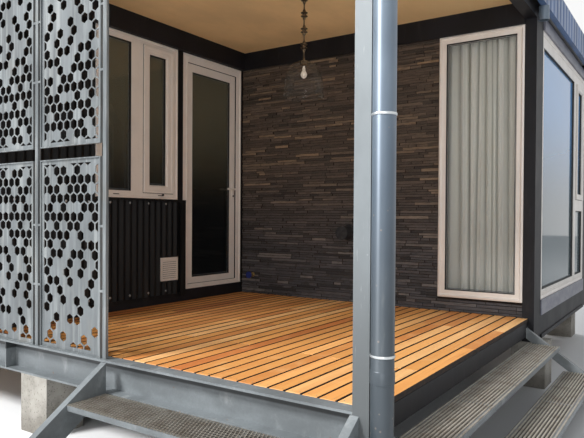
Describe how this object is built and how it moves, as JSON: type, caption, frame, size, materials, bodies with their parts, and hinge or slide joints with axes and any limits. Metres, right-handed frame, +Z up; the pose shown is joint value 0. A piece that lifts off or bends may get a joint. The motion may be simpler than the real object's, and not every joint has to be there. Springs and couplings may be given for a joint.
{
  "type": "shipping container cabin with a corner porch",
  "caption": "L-shaped cabin of black corrugated steel and stone slips round a boarded corner porch, with a glazed door, pierced steel screens, a glazed end and open steps",
  "frame": {"origin": "bottom centre of the whole building's box, on the ground under the piers", "axes": "+X runs right along the front to the glazed end, +Y from the front to the rear, +Z up"},
  "size_m": [6.6434, 5.8306, 2.956],
  "materials": {
    "concrete": "rough cast",
    "grey_steel": "satin, mottled",
    "dark_steel": "satin",
    "black_sheet": "satin",
    "slip_stone": "split face",
    "deck_wood": "oiled",
    "floor_wood": "satin",
    "pipe_grey": "satin",
    "ceiling_board": "matt",
    "white_board": "painted matt",
    "roof_sheet": "weathered",
    "fascia_sheet": "satin",
    "white_pvc": "satin",
    "glass": "clear",
    "handle_steel": "brushed",
    "tread_steel": "worn",
    "screen_steel": "satin, streaked",
    "flue_black": "matt",
    "tap_metal": "dull",
    "lamp_metal": "aged",
    "curtain_cloth": "woven",
    "rail_white": "painted"
  },
  "bodies": {
    "cabin": {"piers": "concrete", "front_beam": "grey_steel", "base_rails": "dark_steel", "deck_frame": "dark_steel", "deck": "deck_wood", "porch_post": "grey_steel", "end_posts": "dark_steel", "downpipe": "pipe_grey", "downpipe_stub": "pipe_grey", "floor": "floor_wood", "porch_side_wall": "black_sheet", "porch_door_header": "black_sheet", "porch_back_wall": "slip_stone", "front_wall": "black_sheet", "left_wall": "black_sheet", "back_wall": "black_sheet", "end_trim": "roof_sheet", "roof_beams": "dark_steel", "porch_ceiling": "ceiling_board", "room_ceiling": "white_board", "roof_panels": "roof_sheet", "fascia": "fascia_sheet", "porch_window_frame": "white_pvc", "porch_window_glass": "glass", "tall_window_frame": "white_pvc", "tall_window_glass": "glass", "end_window_frame": "white_pvc", "end_window_glass": "glass", "plain_window_frames": "white_pvc", "plain_window_glass": "glass", "door_frame": "white_pvc", "lower_screens": "screen_steel", "upper_screens": "screen_steel", "screen_uprights": "screen_steel", "front_steps_frame": "grey_steel", "front_treads": "tread_steel", "side_steps_frame": "grey_steel", "side_treads": "tread_steel", "vent_grille": "white_pvc", "flue_terminal": "flue_black", "wall_tap": "tap_metal", "pendant_lamp": "lamp_metal", "lamp_shade": "glass", "curtain": "curtain_cloth", "curtain_rail": "rail_white"},
    "door": {"door_leaf": "white_pvc", "door_glass": "glass", "door_handle": "handle_steel"}
  },
  "joints": [
    {"name": "door_hinge", "type": "hinge", "parent": "cabin", "child": "door", "pos_m": [-0.06773, -0.32725, 1.1], "axis": [0, 0, 1], "range_deg": [0, 90]}
  ]
}
